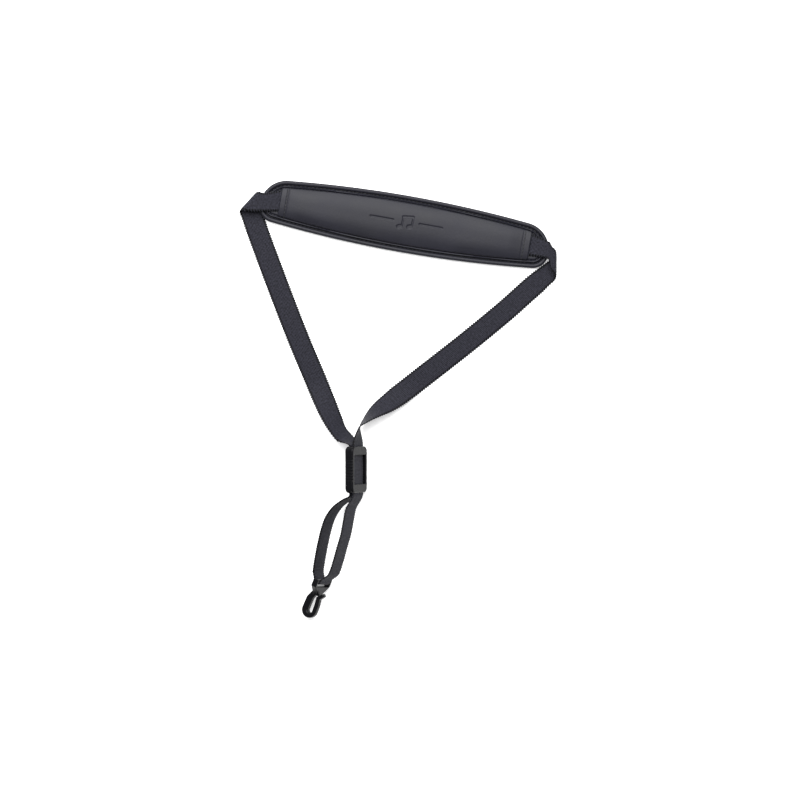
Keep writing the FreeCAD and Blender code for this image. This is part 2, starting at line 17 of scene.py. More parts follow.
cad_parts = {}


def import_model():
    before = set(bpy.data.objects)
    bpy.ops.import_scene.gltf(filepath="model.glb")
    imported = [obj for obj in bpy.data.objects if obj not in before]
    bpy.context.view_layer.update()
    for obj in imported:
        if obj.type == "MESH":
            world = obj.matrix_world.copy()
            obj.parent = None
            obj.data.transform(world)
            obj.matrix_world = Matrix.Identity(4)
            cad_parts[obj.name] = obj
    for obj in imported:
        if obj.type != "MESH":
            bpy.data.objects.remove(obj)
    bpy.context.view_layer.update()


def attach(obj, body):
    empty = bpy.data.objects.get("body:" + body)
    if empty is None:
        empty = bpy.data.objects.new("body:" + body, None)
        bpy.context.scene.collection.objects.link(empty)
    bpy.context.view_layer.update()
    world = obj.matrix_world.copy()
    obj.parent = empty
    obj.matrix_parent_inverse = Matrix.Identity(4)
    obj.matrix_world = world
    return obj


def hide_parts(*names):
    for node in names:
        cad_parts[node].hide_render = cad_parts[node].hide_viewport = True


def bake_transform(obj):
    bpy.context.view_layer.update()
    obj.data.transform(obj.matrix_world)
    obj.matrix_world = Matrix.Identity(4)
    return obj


MM = 0.001
log = logging.getLogger("neck_strap")
Array = np.ndarray
Place = Callable[[Array, Array], Array]
Socket = bpy.types.NodeSocket
UP = np.array([0.0, 0.0, 1.0])


class Body(Enum):
    """The bodies that pieces ride on."""

    STRAP = "strap"
    SLIDER = "slider"
    HOOK = "hook"


class Slot(Enum):
    """The names of the material slots."""

    LEATHER = "black_leather"
    WEBBING = "black_webbing"
    MOULDING = "black_moulding"


# ---------------------------------------------------------------- finishes


def linear(colour: str) -> tuple[float, float, float, float]:
    """Turns an sRGB hex colour to linear.

    Args:
        colour: six hex digits.

    Returns:
        Red, green, blue and alpha.
    """
    shares = [int(colour[n : n + 2], 16) / 255 for n in (0, 2, 4)]
    flat = [s / 12.92 if s <= 0.04045 else ((s + 0.055) / 1.055) ** 2.4 for s in shares]
    return (*flat, 1.0)


def add_node(
    tree: bpy.types.NodeTree,
    kind: str,
    sockets: dict | None = None,
    links: dict | None = None,
    **settings: object,
) -> bpy.types.Node:
    """Adds a shader node.

    Args:
        tree: the material's node tree.
        kind: the node's type.
        sockets: values for its inputs, by name or number.
        links: outputs of other nodes for its inputs, by name or number.
        settings: the node's own properties.

    Returns:
        The node.
    """
    made = tree.nodes.new("ShaderNode" + kind)
    for name, value in settings.items():
        setattr(made, name, value)
    for socket, value in (sockets or {}).items():
        made.inputs[socket].default_value = value
    for socket, source in (links or {}).items():
        tree.links.new(source, made.inputs[socket])
    return made


def start_material(name: str) -> tuple[bpy.types.Material, bpy.types.NodeTree, Socket]:
    """Starts a node material.

    Args:
        name: the material's name.

    Returns:
        The material, its empty node tree and the object's own coordinates.
    """
    material = bpy.data.materials.new(name)
    material.use_nodes = True
    tree = material.node_tree
    tree.nodes.clear()
    return material, tree, add_node(tree, "TexCoord").outputs["Object"]


def cloud(
    tree: bpy.types.NodeTree, place: Socket, size_mm: float, detail: float, rough: float = 0.5
) -> Socket:
    """Adds a cloudy noise.

    Args:
        tree: the material's node tree.
        place: coordinates, in metres.
        size_mm: size of its largest clouds.
        detail: how many finer layers it has.
        rough: how strong those are.

    Returns:
        Its value, about 0 to 1.
    """
    sockets = {"Scale": 1 / (size_mm * MM), "Detail": detail, "Roughness": rough}
    return add_node(tree, "TexNoise", sockets, {"Vector": place}).outputs["Fac"]


def stripes(
    tree: bpy.types.NodeTree, place: Socket, pitch_mm: float, slack: float, way: str
) -> Socket:
    """Adds soft parallel stripes.

    Args:
        tree: the material's node tree.
        place: coordinates, in metres.
        pitch_mm: from one stripe to the next.
        slack: how much they wander.
        way: the axis that they cross.

    Returns:
        Their value, 0 to 1.
    """
    sockets = {"Scale": math.pi / (10 * pitch_mm * MM), "Distortion": slack}
    node = add_node(tree, "TexWave", sockets, {"Vector": place}, bands_direction=way)
    return node.outputs["Fac"]


def maths(tree: bpy.types.NodeTree, operation: str, *terms: float | Socket) -> Socket:
    """Adds a sum.

    Args:
        tree: the material's node tree.
        operation: what it does with its terms.
        terms: numbers, or outputs of other nodes.

    Returns:
        The result.
    """
    links = {n: term for n, term in enumerate(terms) if isinstance(term, Socket)}
    sockets = {n: term for n, term in enumerate(terms) if n not in links}
    return add_node(tree, "Math", sockets, links, operation=operation).outputs[0]


def spread(tree: bpy.types.NodeTree, value: Socket, low: tuple, high: tuple = (0.0, 1.0)) -> Socket:
    """Maps one range to another, and stops at its ends.

    Args:
        tree: the material's node tree.
        value: what is mapped.
        low: the range it comes from.
        high: the range it goes to.

    Returns:
        The mapped value.
    """
    names = ("From Min", "From Max", "To Min", "To Max")
    return add_node(tree, "MapRange", dict(zip(names, (*low, *high))), {"Value": value}).outputs[0]


def blend(tree: bpy.types.NodeTree, share: Socket, low: str | Socket, high: str) -> Socket:
    """Goes from one colour to another.

    Args:
        tree: the material's node tree.
        share: how much of the second.
        low: the first, in hex or from a node.
        high: the second, in hex.

    Returns:
        The colour between.
    """
    sockets, links = {7: linear(high)}, {0: share}
    if isinstance(low, Socket):
        links[6] = low
    else:
        sockets[6] = linear(low)
    return add_node(tree, "Mix", sockets, links, data_type="RGBA").outputs[2]


def relief(tree: bpy.types.NodeTree, height: Socket, strength: float, depth_mm: float) -> Socket:
    """Raises the surface by a height.

    Args:
        tree: the material's node tree.
        height: the height, 0 to 1.
        strength: how much it shows.
        depth_mm: what a height of 1 stands for.

    Returns:
        The surface's new direction.
    """
    sockets = {"Strength": strength, "Distance": depth_mm * MM}
    return add_node(tree, "Bump", sockets, {"Height": height}).outputs[0]


def end_material(tree: bpy.types.NodeTree, sockets: dict, links: dict) -> None:
    """Adds the shader and joins it to the material's output.

    Args:
        tree: the material's node tree.
        sockets: values for the shader's inputs.
        links: outputs of other nodes for its inputs.
    """
    shader = add_node(tree, "BsdfPrincipled", sockets, links)
    add_node(tree, "OutputMaterial", links={"Surface": shader.outputs[0]})


@dataclass(frozen=True)
class GrainedLeather:
    """Coated split leather, embossed with a fine pebble grain and finished satin."""

    name: str = "grained_leather"
    colour: str = "0F0F15"
    worn: str = "1C1C26"
    pebble_mm: float = 1.1
    pore_mm: float = 0.35
    patch_mm: float = 28.0
    depth_mm: float = 0.09
    roughness: float = 0.5

    def material(self) -> bpy.types.Material:
        """Makes the finish: pebbles break its soft sheen, and handling has paled some patches.

        Returns:
            The material.
        """
        material, tree, place = start_material(self.name)
        pebbles = add_node(
            tree,
            "TexVoronoi",
            {"Scale": 1 / (self.pebble_mm * MM), "Randomness": 0.9},
            {"Vector": place},
            feature="SMOOTH_F1",
        )
        pores = cloud(tree, place, self.pore_mm, 2.0)
        patches = cloud(tree, place, self.patch_mm, 3.0, 0.6)
        height = maths(tree, "ADD", pebbles.outputs["Distance"], pores)
        glosses = (self.roughness - 0.07, self.roughness + 0.08)
        end_material(
            tree,
            {"IOR": 1.5, "Specular IOR Level": 0.25},
            {
                "Base Color": blend(tree, patches, self.colour, self.worn),
                "Roughness": spread(tree, patches, (0.0, 1.0), glosses),
                "Normal": relief(tree, height, 0.55, self.depth_mm),
            },
        )
        return material


@dataclass(frozen=True)
class RibbedWebbing:
    """Polypropylene webbing: weft ribs across it, warp threads over them, looped selvages."""

    name: str = "ribbed_webbing"
    colour: str = "34343E"
    # painted shade: the colour that the weave's hollows are darkened to
    hollow: str = "09090C"
    # painted shade: the near black painted into the small gaps of the looped selvages
    gap: str = "020202"
    rib_mm: float = 1.1
    warp_mm: float = 1.3
    fluff_mm: float = 1.7
    loop_mm: float = 2.2
    selvage_mm: float = 7.3
    depth_mm: float = 0.2

    def material(self) -> bpy.types.Material:
        """Makes the finish: fine broken cross lines with painted shade in the weave's hollows, and
        rows of small gaps at the edges painted near black as shade.

        Returns:
            The material.
        """
        material, tree, _ = start_material(self.name)
        weave = add_node(tree, "UVMap", uv_map="weave").outputs["UV"]
        ribs = stripes(tree, weave, self.rib_mm, 1.4, "Y")
        warps = stripes(tree, weave, self.warp_mm, 1.0, "X")
        loops = stripes(tree, weave, self.loop_mm, 0.0, "Y")
        fluff = cloud(tree, weave, self.fluff_mm, 5.0, 0.7)
        height = maths(tree, "MULTIPLY_ADD", maths(tree, "MULTIPLY", ribs, warps), 0.55, fluff)
        across = add_node(tree, "SeparateXYZ", links={0: weave}).outputs["X"]
        edge = (self.selvage_mm * MM, (self.selvage_mm + 0.5) * MM)
        selvage = spread(tree, maths(tree, "ABSOLUTE", across), edge)
        # mask of the painted shade in the selvages' gaps
        gaps = maths(tree, "MULTIPLY", selvage, spread(tree, loops, (0.68, 0.5)))
        # painted shade: the thread darkens towards the hollow colour where the weave lies low, and
        # is lighter on the rib tops
        thread = blend(tree, spread(tree, height, (0.42, 0.95)), self.hollow, self.colour)
        end_material(
            tree,
            {
                "IOR": 1.49,
                "Roughness": 0.62,
                "Specular IOR Level": 0.09,
                "Sheen Weight": 0.02,
                "Sheen Roughness": 0.4,
            },
            {
                # the painted shade of the selvages' gaps, laid over the thread colour
                "Base Color": blend(tree, gaps, thread, self.gap),
                "Normal": relief(tree, height, 0.9, self.depth_mm),
            },
        )
        return material


@dataclass(frozen=True)
class MouldedPlastic:
    """Injection-moulded acetal, from a finely eroded tool."""

    name: str = "moulded_acetal"
    colour: str = "0B0B0E"
    skin_mm: float = 0.5
    flow_mm: float = 9.0
    roughness: float = 0.27

    def material(self) -> bpy.types.Material:
        """Makes the finish: near black, its highlights broken a little by the tool's texture.

        Returns:
            The material.
        """
        material, tree, place = start_material(self.name)
        skin = cloud(tree, place, self.skin_mm, 3.0)
        flow = cloud(tree, place, self.flow_mm, 2.0)
        glosses = (self.roughness - 0.08, self.roughness + 0.1)
        end_material(
            tree,
            {"Base Color": linear(self.colour), "IOR": 1.48, "Specular IOR Level": 0.12},
            {
                "Roughness": spread(tree, flow, (0.0, 1.0), glosses),
                "Normal": relief(tree, skin, 0.35, 0.03),
            },
        )
        return material


@dataclass(frozen=True)
class SewingThread:
    """Bonded nylon sewing thread, three plies twisted and waxed."""

    name: str = "bonded_thread"
    colour: str = "0B0B0E"
    between: str = "0E0E10"
    ply_mm: float = 0.5

    def material(self) -> bpy.types.Material:
        """Makes the finish: the plies show as a slanting ripple on each stitch.

        Returns:
            The material.
        """
        material, tree, place = start_material(self.name)
        plies = stripes(tree, place, self.ply_mm, 0.0, "DIAGONAL")
        end_material(
            tree,
            {"Roughness": 0.55, "IOR": 1.5},
            {
                "Base Color": blend(tree, plies, self.between, self.colour),
                "Normal": relief(tree, plies, 0.6, 0.08),
            },
        )
        return material


@dataclass(frozen=True)
class LightTable:
    """The top of a photographer's light table: matt white acrylic, lit softly from below."""

    name: str = "light_table"
    colour: str = "F7F7F7"
    glow: float = 0.45
    tooth_mm: float = 1.11

    def material(self) -> bpy.types.Material:
        """Makes the finish: plain and pale, with only a trace of tooth.

        Returns:
            The material.
        """
        material, tree, place = start_material(self.name)
        tooth = cloud(tree, place, self.tooth_mm, 2.0)
        end_material(
            tree,
            {
                "Base Color": linear(self.colour),
                "Roughness": 0.9,
                "Emission Color": linear(self.colour),
                "Emission Strength": self.glow,
            },
            {"Normal": relief(tree, tooth, 0.05, 0.05)},
        )
        return material


# ---------------------------------------------------------------- making meshes


def smooth(share: Array) -> Array:
    """Eases from 0 to 1, and stays there outside that range."""
    share = np.clip(share, 0, 1)
    return share * share * (3 - 2 * share)


def well(distance: Array, width: float) -> Array:
    """A bell that is 1 where the distance is 0 and fades out over the width."""
    return np.exp(-((distance / width) ** 2))


def round_section(a: Array) -> Array:
    """Goes across the top from 1 to -1 and back below, with steps that shorten at the edges."""
    return np.sin(np.where(a < 0.5, 1 - 4 * a, 4 * a - 3) * math.pi / 2)


def dress(piece: bpy.types.Object, material: bpy.types.Material) -> None:
    """Gives a piece its material.

    Args:
        piece: the piece.
        material: its finish.
    """
    piece.data.materials.clear()
    piece.data.materials.append(material)
    log.info("%s: %d faces", piece.name, len(piece.data.polygons))


def wrapped(
    name: str, around: int, along: int, place: Place, weave: Place | None = None
) -> bpy.types.Object:
    """Adds a grid, bends it round until its edges meet, and closes what is still open.

    Args:
        name: the piece's name.
        around: faces round the section.
        along: faces along the piece.
        place: gives points in mm from the shares round and along.
        weave: gives the cloth's own coordinates in mm from the same shares.

    Returns:
        The piece.
    """
    bpy.ops.object.select_all(action="DESELECT")
    bpy.ops.mesh.primitive_grid_add(
        x_subdivisions=around, y_subdivisions=along, size=1.0, location=(0, 0, 0)
    )
    piece = bpy.context.object
    piece.name = piece.data.name = name
    mesh = piece.data
    flat = np.empty(len(mesh.vertices) * 3)
    mesh.vertices.foreach_get("co", flat)
    a, b = flat[0::3] + 0.5, flat[1::3] + 0.5
    if weave is not None:
        corners = np.empty(len(mesh.loops), dtype=np.int32)
        mesh.loops.foreach_get("vertex_index", corners)
        mesh.uv_layers[0].name = "weave"
        mesh.uv_layers[0].data.foreach_set("uv", (weave(a, b) * MM)[corners].ravel())
    mesh.vertices.foreach_set("co", (place(a, b) * MM).ravel())
    mesh.update()
    bpy.ops.object.mode_set(mode="EDIT")
    bpy.ops.mesh.select_all(action="SELECT")
    bpy.ops.mesh.remove_doubles(threshold=1e-6)
    bpy.ops.mesh.fill_holes(sides=0)
    bpy.ops.mesh.select_all(action="SELECT")
    bpy.ops.mesh.normals_make_consistent(inside=False)
    bpy.ops.object.mode_set(mode="OBJECT")
    bpy.ops.object.shade_smooth_by_angle(angle=math.radians(60))
    return piece


@dataclass(frozen=True)
class Outline:
    """The pad seen from above: two bowed edges, straight ends and rounded corners."""

    half_length: float = 130.0
    half_width: float = 25.4
    edge_bow: float = 7.8
    near_corner: float = 14.0
    far_corner: float = 24.0

    @property
    def radius(self) -> float:
        """Radius of the long edges."""
        return (self.half_length**2 + self.edge_bow**2) / (2 * self.edge_bow)

    def corner(self, inset: float, far: bool) -> tuple[float, float, float, float]:
        """Works out a corner.

        Args:
            inset: how far inside the outline.
            far: the side away from the straps.

        Returns:
            Radius, centre's x, centre's distance from the long axis, and the angle it ends at.
        """
        turn = max((self.far_corner if far else self.near_corner) - inset, 1.0)
        x = self.half_length - inset - turn
        middle = self.radius - self.half_width
        y = math.sqrt((self.radius - inset - turn) ** 2 - x * x) - middle
        return turn, x, y, math.atan2(y + middle, x)

    def bowed(self, x: Array, inset: float) -> Array:
        """Distance of a long edge from the long axis, corners left out."""
        return np.sqrt((self.radius - inset) ** 2 - x * x) - (self.radius - self.half_width)

    def edge(self, x: Array, inset: float, far: bool) -> Array:
        """Distance of the outline from the long axis.

        Args:
            x: places along the pad.
            inset: how far inside the outline.
            far: the side away from the straps.

        Returns:
            The distance at each place.
        """
        turn, centre_x, centre_y, lean = self.corner(inset, far)
        over = np.clip(np.abs(x) - centre_x, 0, turn)
        corner = centre_y + np.sqrt(np.maximum(turn * turn - over * over, 0))
        start = centre_x + turn * math.cos(lean)
        return np.where(np.abs(x) > start, corner, self.bowed(x, inset))

    def depth(self, x: Array, y: Array) -> Array:
        """Works out how far inside the outline points are.

        Args:
            x: places along the pad.
            y: places across it.

        Returns:
            The depth of each, negative outside.
        """
        middle = self.radius - self.half_width
        found = self.radius - np.hypot(x, np.abs(y) + middle)
        found = np.minimum(found, self.half_length - np.abs(x))
        for far in (True, False):
            turn, centre_x, centre_y, _ = self.corner(0, far)
            over_x, over_y = np.abs(x) - centre_x, (y if far else -y) - centre_y
            inside = (over_x > 0) & (over_y > 0)
            corner = turn - np.hypot(over_x, over_y)
            found = np.where(inside, np.minimum(found, corner), found)
        return found

    def walk(self, inset: float, count: int) -> tuple[Array, Array, float]:
        """Goes once round the outline.

        Args:
            inset: how far inside the outline.
            count: how many evenly spaced points.

        Returns:
            Points, the outward way at each, and the whole length.
        """
        middle = self.radius - self.half_width
        far_turn, far_x, far_y, far_lean = self.corner(inset, True)
        near_turn, near_x, near_y, near_lean = self.corner(inset, False)
        bow = self.radius - inset
        arcs = [
            (far_x, far_y, far_turn, 0, far_lean, 40),
            (0, -middle, bow, far_lean, math.pi - far_lean, 400),
            (-far_x, far_y, far_turn, math.pi - far_lean, math.pi, 40),
            (-near_x, -near_y, near_turn, math.pi, math.pi + near_lean, 40),
            (0, middle, bow, math.pi + near_lean, 2 * math.pi - near_lean, 400),
            (near_x, -near_y, near_turn, 2 * math.pi - near_lean, 2 * math.pi, 40),
        ]
        rows = []
        for x, y, turn, low, high, steps in arcs:
            angle = np.linspace(low, high, steps)
            rows.append(np.stack([x + turn * np.cos(angle), y + turn * np.sin(angle)], 1))
        line = np.concatenate(rows + [rows[0][:1]])
        far = np.concatenate([[0], np.cumsum(np.hypot(*np.diff(line, axis=0).T))])
        wanted = np.linspace(0, far[-1], count, endpoint=False)
        points = np.stack([np.interp(wanted, far, line[:, n]) for n in (0, 1)], 1)
        ahead = np.roll(points, -1, 0) - np.roll(points, 1, 0)
        ahead /= np.linalg.norm(ahead, axis=1, keepdims=True)
        return points, np.stack([ahead[:, 1], -ahead[:, 0]], 1), float(far[-1])


# ---------------------------------------------------------------- the pad


@dataclass
class Pad:
    """The pad: a stitched cushion, its piping, and the crowned sleeve sewn over it."""

    outline: Outline = field(default_factory=Outline)
    rim_inset: float = 3.2
    rim_height: float = 4.2
    face_height: float = 7.0
    flat_inset: float = 12.2
    bead_radius: float = 2.0
    stitch_pitch: float = 3.6
    sleeve_half_length: float = 112.5
    sleeve_inset: float = 6.9
    sleeve_top: float = 10.8
    sleeve_foot: float = 7.1
    sleeve_shoulder: float = 0.8
    strap_offset: float = 1.0
    hem: float = 6.5
    shoulder_inset: float = 4.3
    shoulder_run: float = 1.1
    ridge_inset: float = 5.2
    pucker: float = 0.10
    seam_inset: float = 6.9
    seam_depth: float = 1.5
    seam_width: float = 0.55

    def upper(self, x: Array, y: Array) -> Array:
        """Shapes the cushion's face: a sewn groove, a ridge, and a second sewn groove.

        Args:
            x: places along the pad.
            y: places across it.

        Returns:
            The height at each.
        """
        depth = self.outline.depth(x, y)
        shoulder = smooth((depth - self.shoulder_inset) / self.shoulder_run)
        rise = (self.face_height - self.rim_height) * shoulder
        seam = self.seam_depth * well(depth - self.seam_inset, self.seam_width)
        pull = np.cos(2 * math.pi * x / self.stitch_pitch) * well(depth - self.ridge_inset, 1.0)
        return self.rim_height + rise - seam + self.pucker * pull

    def lower(self, x: Array, y: Array) -> Array:
        """Shapes the cushion's underside, which curves up from the flat to the piping.

        Args:
            x: places along the pad.
            y: places across it.

        Returns:
            The height at each.
        """
        depth = self.outline.depth(x, y)
        run = (depth - self.rim_inset) / (self.flat_inset - self.rim_inset)
        return self.rim_height * np.clip(1 - run, 0, 1) ** 2

    def cushion(self, leather: bpy.types.Material) -> bpy.types.Object:
        """Builds the cushion as one closed form.

        Args:
            leather: its finish.

        Returns:
            The piece.
        """
        reach = self.outline.half_length - self.rim_inset

        def place(a: Array, b: Array) -> Array:
            """Bends the grid over the face and back under it.

            Args:
                a: share of the way round the section.
                b: share of the length.

            Returns:
                Points.
            """
            x = -reach * np.cos(math.pi * b)
            share = round_section(a)
            far = self.outline.edge(x, self.rim_inset, True)
            near = self.outline.edge(x, self.rim_inset, False)
            y = (far - near) / 2 + share * (far + near) / 2
            edge = (np.abs(share) > 1 - 1e-9) | (b < 1e-9) | (b > 1 - 1e-9)
            z = np.where(a < 0.5, self.upper(x, y), self.lower(x, y))
            return np.stack([x, y, np.where(edge, self.rim_height, z)], 1)

        piece = wrapped("pad_cushion", 112, 420, place)
        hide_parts("pad_lining", "pad_foam", "pad_face")
        dress(piece, leather)
        return piece

    def piping(self, leather: bpy.types.Material) -> bpy.types.Object:
        """Builds the piping: a bead round the pad, pinched a little at each stitch.

        Args:
            leather: its finish.

        Returns:
            The piece.
        """
        count = 1200
        points, outward, length = self.outline.walk(self.bead_radius, count)

        def place(a: Array, b: Array) -> Array:
            """Bends the grid round the bead.

            Args:
                a: share of the way round the bead.
                b: share of the way round the pad.

            Returns:
                Points.
            """
            row = np.rint(b * count).astype(int) % count
            turn = 2 * math.pi * a
            stitches = round(length / self.stitch_pitch)
            pinch = 1 + 0.02 * np.cos(2 * math.pi * b * stitches) * (np.cos(turn) < 0.5)
            reach = self.bead_radius * pinch
            flat = points[row] + outward[row] * (reach * np.cos(turn))[:, None]
            return np.column_stack([flat, self.rim_height + reach * np.sin(turn)])

        piece = wrapped("piping_bead", 16, count, place)
        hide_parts("piping_cover", "piping_cord")
        dress(piece, leather)
        return piece

    def sleeve_height(self, x: Array, y: Array) -> Array:
        """Shapes the sleeve: crowned across, lower at its ends, with a folded hem at each.

        Args:
            x: places along the pad.
            y: places across it.

        Returns:
            The height at each.
        """
        half = self.outline.bowed(x, self.sleeve_inset)
        over = half - np.abs(y)
        crown = 1 - (1 - np.clip(over / half, 0, 1)) ** 2.7
        end = np.abs(x)
        rim = self.sleeve_foot + self.sleeve_shoulder
        lift = (self.sleeve_top - rim) - 0.9 * smooth((end - 92) / 16)
        edge = np.sqrt(np.clip(1 - (1 - np.clip(over / 0.9, 0, 1)) ** 2, 0, 1))
        z = self.sleeve_foot + self.sleeve_shoulder * edge + lift * crown
        fold = self.sleeve_half_length - self.hem
        z += 0.4 * smooth((end - fold + 0.3) / 0.6) - 0.45 * well(end - fold - 0.9, 0.5)
        z -= 0.3 * well(end - fold + 0.7, 0.5)
        z -= 0.6 * smooth((end - self.sleeve_half_length + 0.8) / 0.8)
        creases = 0.10 * np.sin(x / 6.1 + 0.8 * np.sin(x / 23)) * np.exp(-over / 5)
        drift = 0.14 * np.sin(x / 21 + y / 13) + 0.1 * np.sin(x / 11 - y / 17 + 1)
        return z + creases + drift * np.clip(over / 6, 0, 1)

    def motif(self, x: Array, y: Array) -> Array:
        """Shapes the pressed ornament: a pair of beamed notes between two plain rules.

        Args:
            x: places along the pad.
            y: places across it.

        Returns:
            The depth at each.
        """

        def bar(x0: float, y0: float, x1: float, y1: float, half: float) -> Array:
            """Measures how far outside a round-ended bar the places are.

            Args:
                x0: one end, along the pad.
                y0: the same end, across it.
                x1: the other end, along the pad.
                y1: the other end, across it.
                half: half of the bar's width.

            Returns:
                The distances, negative inside the bar.
            """
            way_x, way_y = x1 - x0, y1 - y0
            share = ((x - x0) * way_x + (y - y0) * way_y) / (way_x**2 + way_y**2)
            share = np.clip(share, 0, 1)
            return np.hypot(x - x0 - share * way_x, y - y0 - share * way_y) - half

        parts = [
            bar(-5.2, -4.6, -3.6, -4.0, 1.7),
            bar(3.6, -3.5, 5.2, -2.9, 1.7),
            bar(-2.3, -3.9, -2.3, 5.0, 0.55),
            bar(6.5, -2.8, 6.5, 6.1, 0.55),
            bar(-2.3, 4.6, 6.5, 5.7, 1.0),
            bar(-31, 0.6, -11, 0.6, 0.8),
            bar(13, 0.6, 33, 0.6, 0.8),
        ]
        return 0.6 * smooth((0.35 - np.minimum.reduce(parts)) / 0.7)

    def sleeve(self, leather: bpy.types.Material) -> bpy.types.Object:
        """Builds the sleeve, hollow where the webbing runs through it.

        Args:
            leather: its finish.

        Returns:
            The piece.
        """
        upper_share = 0.75

        def place(a: Array, b: Array) -> Array:
            """Bends the grid over the crown, and back through the webbing's tunnel.

            Args:
                a: share of the way round the section.
                b: share of the length.

            Returns:
                Points.
            """
            x = self.sleeve_half_length * (2 * b - 1)
            half = self.outline.bowed(x, self.sleeve_inset)
            half -= 1.2 * smooth((np.abs(x) - self.sleeve_half_length + 1.5) / 1.5)
            top = a <= upper_share
            share = np.where(
                top, 1 - 2 * a / upper_share, 2 * (a - upper_share) / (1 - upper_share) - 1
            )
            y = share * half
            upper = self.sleeve_height(x, y) - self.motif(x, y - self.strap_offset)
            tunnel = smooth((11.4 - np.abs(y - self.strap_offset)) / 1.2)
            lower = np.minimum(self.face_height + 0.05 + 1.55 * tunnel, upper - 0.5)
            edge = np.abs(share) > 1 - 1e-9
            z = np.where(edge, self.sleeve_foot, np.where(top, upper, lower))
            return np.stack([x, y, z], 1)

        piece = wrapped("sleeve_cover", 128, 520, place)
        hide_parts("sleeve_panel", "sleeve_foam")
        dress(piece, leather)
        return piece

    def row_round(self, inset: float, below: bool) -> tuple[Array, Array, Array]:
        """Lays out a row of stitches round the pad.

        Args:
            inset: how far inside the outline.
            below: on the underside.

        Returns:
            The stitches' places, the ways they run and the ways they stand out.
        """
        _, _, length = self.outline.walk(inset, 8)
        points, outward, _ = self.outline.walk(inset, round(length / self.stitch_pitch))
        height = (self.lower if below else self.upper)(points[:, 0], points[:, 1])
        lie = -0.05 if below else 0.05
        spots = np.column_stack([points, height + lie])
        ahead = np.column_stack([-outward[:, 1], outward[:, 0], np.zeros(len(points))])
        up = np.column_stack([outward * (0.35 if below else -0.2), np.ones(len(points))])
        return spots, ahead, up

    def hem_rows(self) -> tuple[Array, Array, Array]:
        """Lays out the stitches of both hems.

        Returns:
            The stitches' places, the ways they run and the ways they stand out.
        """
        end = self.sleeve_half_length - self.hem + 0.9
        y = np.arange(-12.6, 12.7, self.stitch_pitch * 0.9)
        x = np.repeat([-end, end], len(y))
        y = np.tile(y, 2)
        spots = np.column_stack([x, y, self.sleeve_height(x, y) + 0.1])
        rise = self.sleeve_height(x, y + 0.5) - self.sleeve_height(x, y - 0.5)
        ahead = np.column_stack([np.zeros(len(x)), np.ones(len(x)), rise])
        return spots, ahead, np.column_stack([np.zeros(len(x)), -rise, np.ones(len(x))])

    def build(self, leather: bpy.types.Material, thread: bpy.types.Material) -> None:
        """Builds all of the pad.

        Args:
            leather: the finish of the cushion, the piping and the sleeve.
            thread: the finish of the stitches.
        """
        for piece in (self.cushion(leather), self.piping(leather), self.sleeve(leather)):
            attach(piece, Body.STRAP.value)
        rows = {
            "stitching_rim": self.row_round(4.35, False),
            "stitching_seam": self.row_round(6.85, False),
            "stitching_underside": self.row_round(5.2, True),
            "stitching_hems": self.hem_rows(),
        }
        for name, row in rows.items():
            piece = stitched(name, *row)
            dress(piece, thread)
            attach(piece, Body.STRAP.value)


def stitched(name: str, spots: Array, ahead: Array, up: Array) -> bpy.types.Object:
    """Models one stitch and copies it along a row.

    Args:
        name: the piece's name.
        spots: the stitches' places.
        ahead: the way each runs.
        up: the way each stands out of the leather.

    Returns:
        The row as one piece.
    """
    bpy.ops.object.select_all(action="DESELECT")
    bpy.ops.mesh.primitive_uv_sphere_add(segments=8, ring_count=6, radius=1, location=(0, 0, 0))
    stitch = bpy.context.object
    flat = np.empty(len(stitch.data.vertices) * 3)
    stitch.data.vertices.foreach_get("co", flat)
    form = flat.reshape(-1, 3)[:, [2, 0, 1]] * (1.45, 0.42, 0.32)
    form[:, 2] -= 0.18 * (form[:, 0] / 1.45) ** 2
    faces = [tuple(face.vertices) for face in stitch.data.polygons]
    bpy.data.objects.remove(stitch)
    ahead = ahead / np.linalg.norm(ahead, axis=1, keepdims=True)
    side = np.cross(up, ahead)
    side /= np.linalg.norm(side, axis=1, keepdims=True)
    axes = np.stack([ahead, side, np.cross(ahead, side)], 1)
    points = (spots[:, None, :] + form @ axes) * MM
    mesh = bpy.data.meshes.new(name)
    all_faces = [tuple(v + n * len(form) for v in f) for n in range(len(spots)) for f in faces]
    mesh.from_pydata(points.reshape(-1, 3).tolist(), [], all_faces)
    mesh.shade_smooth()
    piece = bpy.data.objects.new(name, mesh)
    bpy.context.collection.objects.link(piece)
    return piece


# ---------------------------------------------------------------- the webbing


def level_way(degrees: float) -> Array:
    """The level direction at an angle from +X."""
    return np.array([math.cos(math.radians(degrees)), math.sin(math.radians(degrees)), 0.0])


def unit(way: Array) -> Array:
    """The same direction, one long."""
    return way / np.linalg.norm(way)


def steady_slopes(knots: Array, gaps: Array) -> Array:
    """Slopes at the knots for a curve that never swings past them.

    Args:
        knots: one row a knot.
        gaps: distances between them.

    Returns:
        One row of slopes a knot.
    """
    rates = np.diff(knots, axis=0) / gaps[:, None]
    before, after = rates[:-1], rates[1:]
    first = (2 * gaps[1:] + gaps[:-1])[:, None]
    second = (gaps[1:] + 2 * gaps[:-1])[:, None]
    same = before * after > 0
    safe_before, safe_after = np.where(same, before, 1), np.where(same, after, 1)
    inner = (first + second) / (first / safe_before + second / safe_after)
    return np.concatenate([rates[:1], np.where(same, inner, 0), rates[-1:]])


